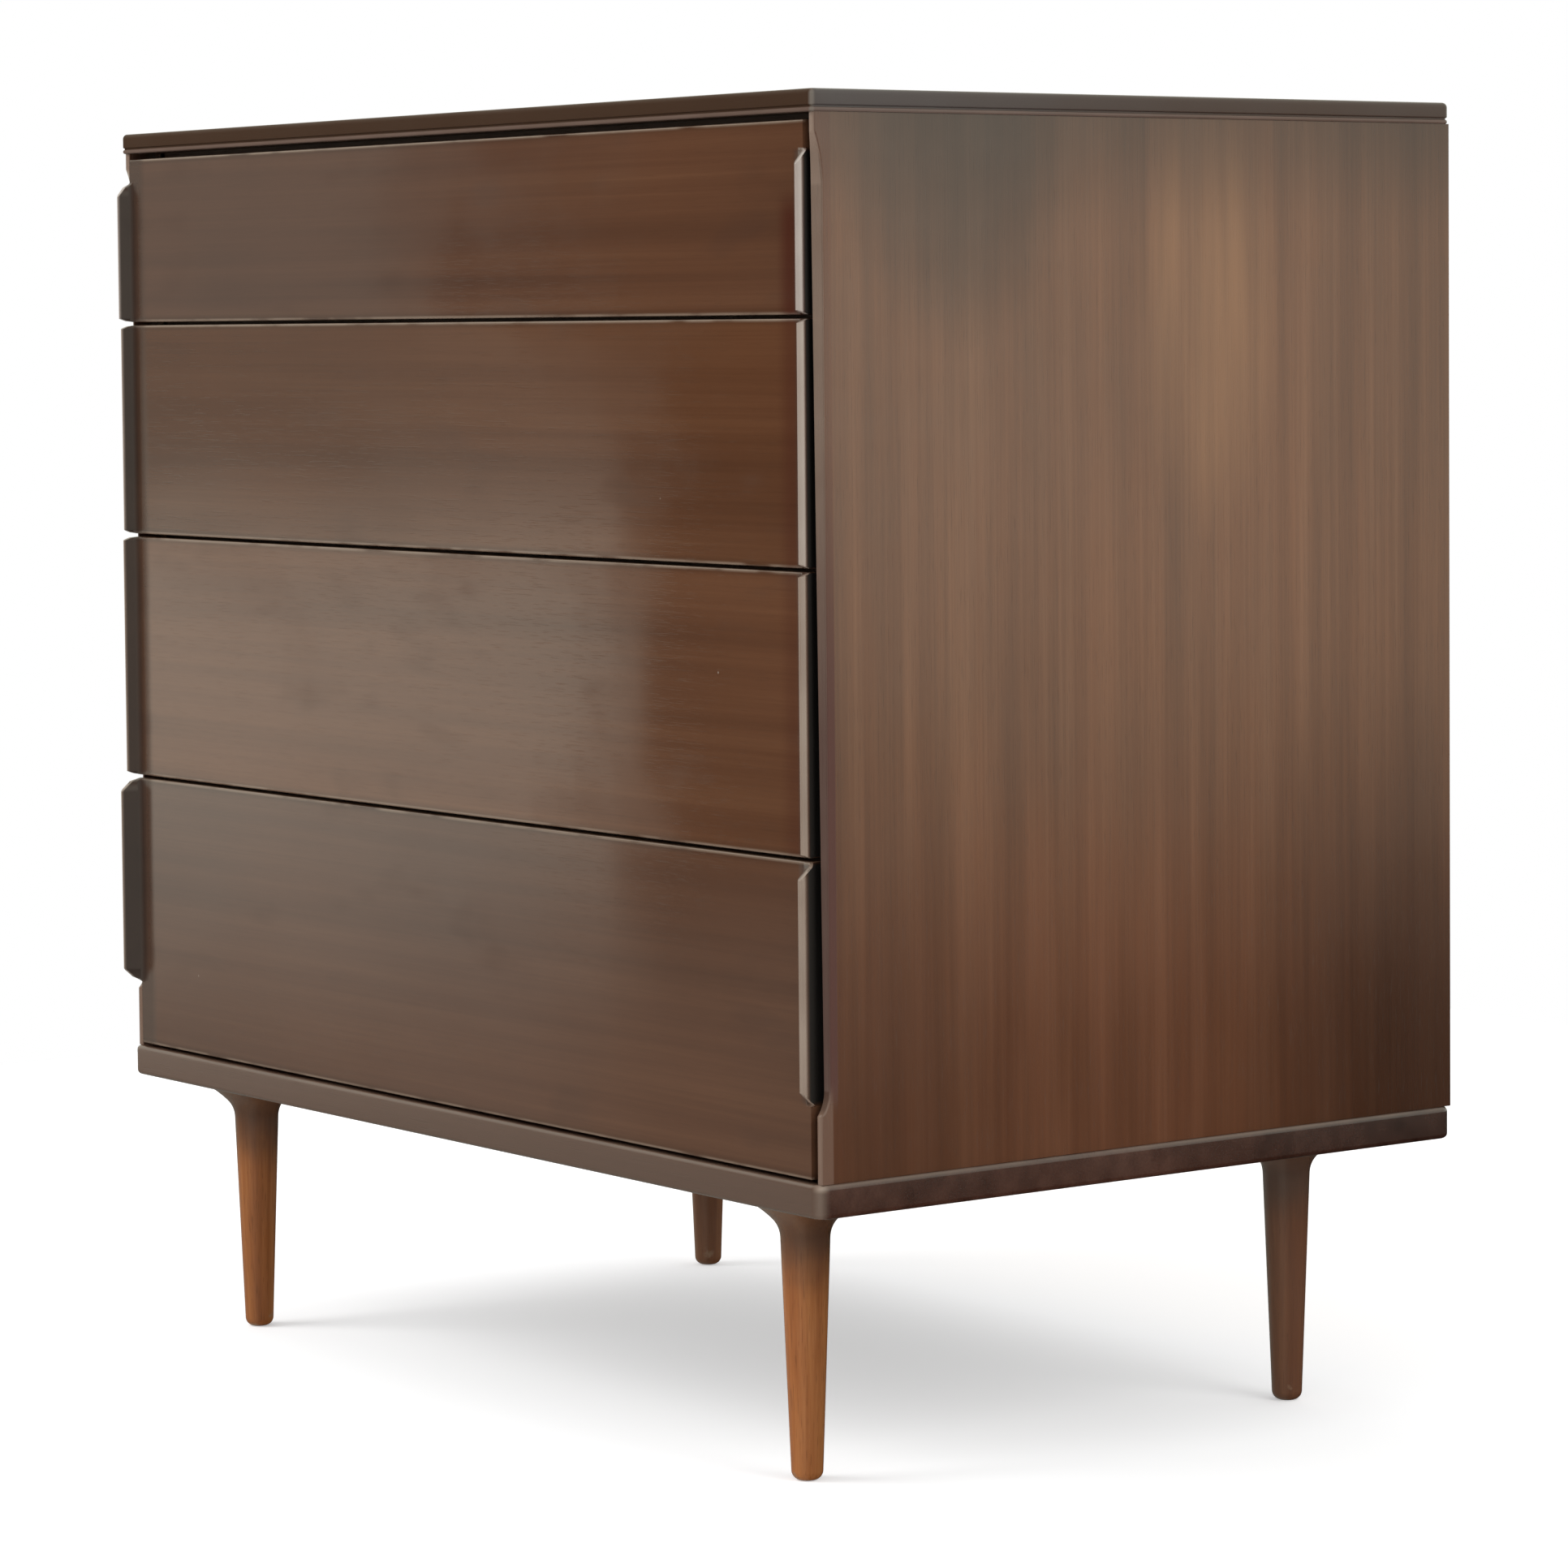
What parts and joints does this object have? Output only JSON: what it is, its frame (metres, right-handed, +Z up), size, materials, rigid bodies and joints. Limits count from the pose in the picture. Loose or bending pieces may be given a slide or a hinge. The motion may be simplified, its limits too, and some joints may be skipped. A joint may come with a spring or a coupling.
{
  "type": "chest of drawers",
  "caption": "Low wooden chest of drawers with overlay fronts, carved vertical edge pulls at both ends, a thin top, a proud base panel and short turned tapered legs.",
  "frame": {"origin": "on the floor under the middle of the whole chest's outline", "axes": "+Z up, -Y out of the drawer fronts, +X towards the right end as seen from the front"},
  "size_m": [0.749, 0.4771, 0.77],
  "materials": {
    "case_veneer": "satin lacquered brown veneer, grain upright on the sides and lengthwise on the top and base",
    "front_veneer": "satin lacquered brown veneer, grain along the drawer front",
    "pull_wood": "satin lacquered solid wood, worn lighter along the edge",
    "leg_wood": "satin lacquered turned hardwood",
    "solid_rail": "dark stained softwood",
    "hardwood_runner": "bare planed hardwood",
    "drawer_wood": "clear lacquered pale wood",
    "plywood": "sanded plywood",
    "dowel_wood": "bare turned wood",
    "steel": "plain steel",
    "screw_steel": "plain steel with domed heads"
  },
  "bodies": {
    "case": {"top_panel": "case_veneer", "base_panel": "case_veneer", "left_side_panel": "case_veneer", "right_side_panel": "case_veneer", "back_panel": "plywood", "top_rail": "solid_rail", "divider_rail_1": "solid_rail", "divider_rail_2": "solid_rail", "divider_rail_3": "solid_rail", "runner_1_left": "hardwood_runner", "runner_2_left": "hardwood_runner", "runner_3_left": "hardwood_runner", "runner_4_left": "hardwood_runner", "runner_1_right": "hardwood_runner", "runner_2_right": "hardwood_runner", "runner_3_right": "hardwood_runner", "runner_4_right": "hardwood_runner", "front_left_leg": "leg_wood", "rear_left_leg": "leg_wood", "front_right_leg": "leg_wood", "rear_right_leg": "leg_wood", "leg_bolts": "steel", "case_dowels": "dowel_wood", "back_screws": "screw_steel", "runner_screws": "screw_steel"},
    "drawer_1": {"drawer_1_front": "front_veneer", "drawer_1_left_pull": "pull_wood", "drawer_1_right_pull": "pull_wood", "drawer_1_left_side": "drawer_wood", "drawer_1_right_side": "drawer_wood", "drawer_1_back": "drawer_wood", "drawer_1_bottom": "plywood", "drawer_1_screws": "screw_steel"},
    "drawer_2": {"drawer_2_front": "front_veneer", "drawer_2_left_pull": "pull_wood", "drawer_2_right_pull": "pull_wood", "drawer_2_left_side": "drawer_wood", "drawer_2_right_side": "drawer_wood", "drawer_2_back": "drawer_wood", "drawer_2_bottom": "plywood", "drawer_2_screws": "screw_steel"},
    "drawer_3": {"drawer_3_front": "front_veneer", "drawer_3_left_pull": "pull_wood", "drawer_3_right_pull": "pull_wood", "drawer_3_left_side": "drawer_wood", "drawer_3_right_side": "drawer_wood", "drawer_3_back": "drawer_wood", "drawer_3_bottom": "plywood", "drawer_3_screws": "screw_steel"},
    "drawer_4": {"drawer_4_front": "front_veneer", "drawer_4_left_pull": "pull_wood", "drawer_4_right_pull": "pull_wood", "drawer_4_left_side": "drawer_wood", "drawer_4_right_side": "drawer_wood", "drawer_4_back": "drawer_wood", "drawer_4_bottom": "plywood", "drawer_4_screws": "screw_steel"}
  },
  "joints": [
    {"name": "drawer_1_slide", "type": "slide", "parent": "case", "child": "drawer_1", "axis": [0, -1, 0], "range_m": [0, 0.32]},
    {"name": "drawer_2_slide", "type": "slide", "parent": "case", "child": "drawer_2", "axis": [0, -1, 0], "range_m": [0, 0.32]},
    {"name": "drawer_3_slide", "type": "slide", "parent": "case", "child": "drawer_3", "axis": [0, -1, 0], "range_m": [0, 0.32]},
    {"name": "drawer_4_slide", "type": "slide", "parent": "case", "child": "drawer_4", "axis": [0, -1, 0], "range_m": [0, 0.32]}
  ]
}
